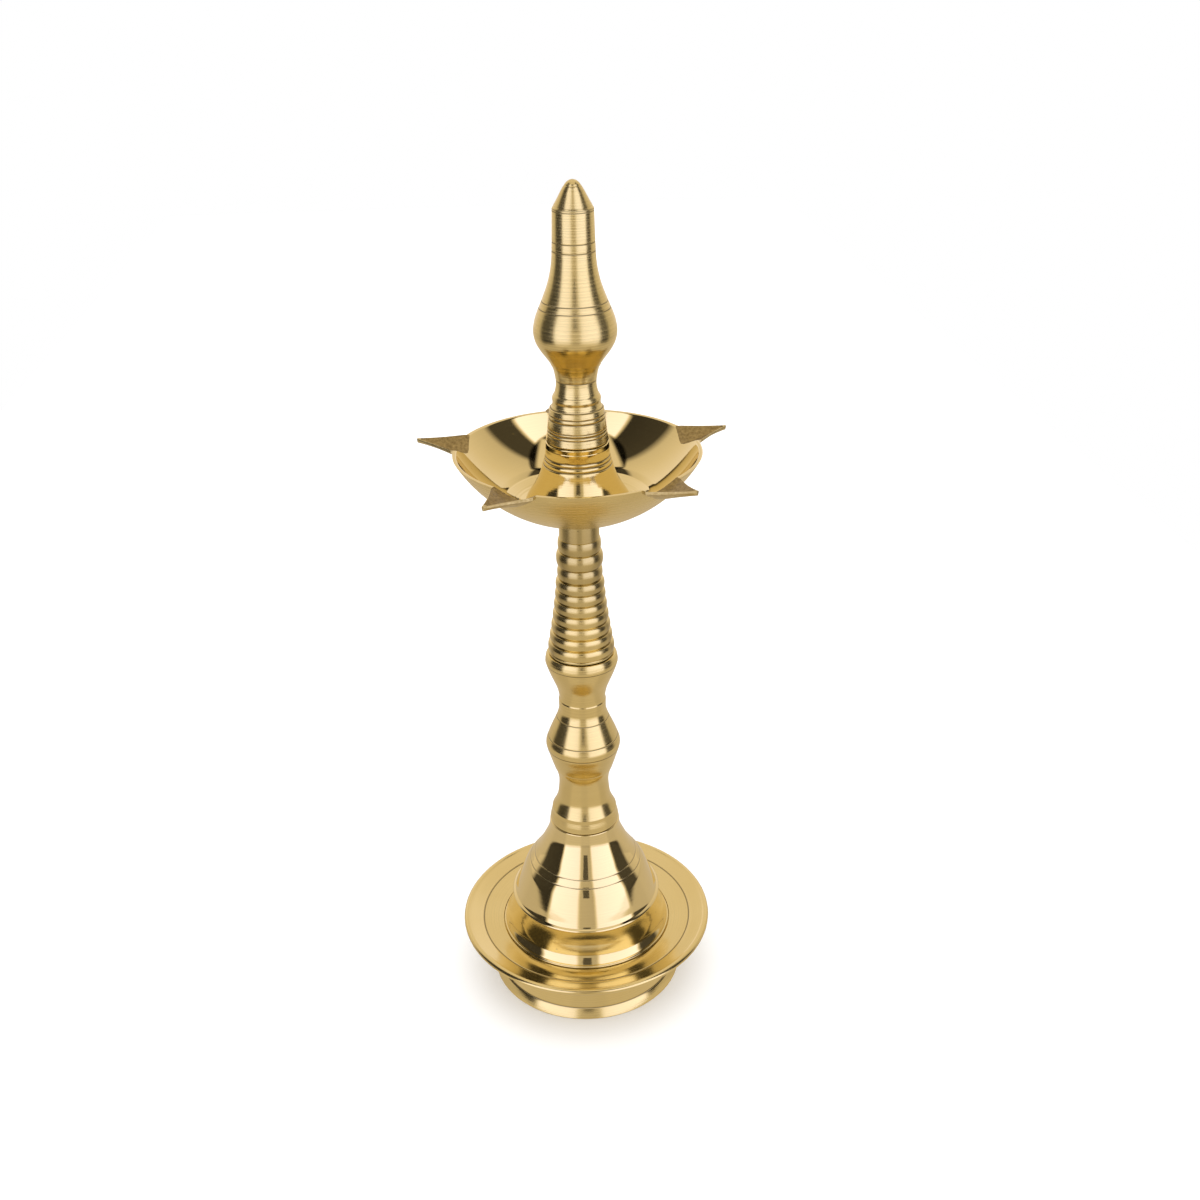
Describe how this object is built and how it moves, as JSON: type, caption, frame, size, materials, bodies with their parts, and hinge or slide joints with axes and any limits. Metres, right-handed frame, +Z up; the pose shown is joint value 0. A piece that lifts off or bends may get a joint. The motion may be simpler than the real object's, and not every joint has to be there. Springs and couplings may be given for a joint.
{
  "type": "standing oil lamp",
  "caption": "Turned brass standing oil lamp with a footed tray, bell dome, ringed column, open bowl with pointed beaks and a pear-shaped spire.",
  "frame": {"origin": "on the lamp's turning axis, at the level of the floor it stands on", "axes": "+Z up along the turning axis; +Y towards the beak at the back; +X to the right"},
  "size_m": [0.1248, 0.1217, 0.356],
  "materials": {
    "tray_brass": "turned and polished, fine lathe lines",
    "dome_brass": "turned and polished, fine lathe lines",
    "stem_brass": "turned and polished, fine lathe lines",
    "column_brass": "turned and polished, fine lathe lines",
    "bowl_brass": "turned and polished, fine lathe lines",
    "cone_brass": "turned and polished, fine lathe lines",
    "spire_brass": "turned and polished, fine lathe lines",
    "washer_steel": "bright zinc-plated steel",
    "bolt_steel": "bright zinc-plated steel",
    "base_stud_brass": "threaded, as cut",
    "stem_stud_brass": "threaded, as cut",
    "bowl_stud_brass": "threaded, as cut",
    "spire_stud_brass": "threaded, as cut"
  },
  "bodies": {
    "base": {"foot_tray": "tray_brass", "bell_dome": "dome_brass", "base_washer": "washer_steel", "base_bolt": "bolt_steel"},
    "base_stud_body": {"base_stud": "base_stud_brass"},
    "stem": {"stem_baluster": "stem_brass"},
    "stem_stud_body": {"stem_stud": "stem_stud_brass"},
    "column": {"ribbed_column": "column_brass"},
    "bowl_stud_body": {"bowl_stud": "bowl_stud_brass"},
    "bowl": {"oil_bowl": "bowl_brass", "bowl_cone": "cone_brass"},
    "spire_stud_body": {"spire_stud": "spire_stud_brass"},
    "spire": {"spire_finial": "spire_brass"}
  },
  "joints": [
    {"name": "stem_lift", "type": "slide", "parent": "base", "child": "base_stud_body", "axis": [0, 0, 1], "range_m": [0, 0.01]},
    {"name": "stem_turn", "type": "hinge", "parent": "base_stud_body", "child": "stem", "pos_m": [0, 0, 0.08], "axis": [0, 0, 1], "range_deg": [0, 2885]},
    {"name": "column_lift", "type": "slide", "parent": "stem", "child": "stem_stud_body", "axis": [0, 0, 1], "range_m": [0, 0.01]},
    {"name": "column_turn", "type": "hinge", "parent": "stem_stud_body", "child": "column", "pos_m": [0, 0, 0.1642], "axis": [0, 0, 1], "range_deg": [0, 2885]},
    {"name": "bowl_lift", "type": "slide", "parent": "column", "child": "bowl_stud_body", "axis": [0, 0, 1], "range_m": [0, 0.008]},
    {"name": "bowl_turn", "type": "hinge", "parent": "bowl_stud_body", "child": "bowl", "pos_m": [0, 0, 0.22375], "axis": [0, 0, 1], "range_deg": [0, 2885]},
    {"name": "spire_lift", "type": "slide", "parent": "bowl", "child": "spire_stud_body", "axis": [0, 0, 1], "range_m": [0, 0.008]},
    {"name": "spire_turn", "type": "hinge", "parent": "spire_stud_body", "child": "spire", "pos_m": [0, 0, 0.2576], "axis": [0, 0, 1], "range_deg": [0, 2885]}
  ],
  "couplings": [
    {"joint": "stem_turn", "follows": "stem_lift", "rad_per_m": 5026.5},
    {"joint": "column_turn", "follows": "column_lift", "rad_per_m": 5026.5},
    {"joint": "bowl_turn", "follows": "bowl_lift", "rad_per_m": 6283.2},
    {"joint": "spire_turn", "follows": "spire_lift", "rad_per_m": 6283.2}
  ]
}
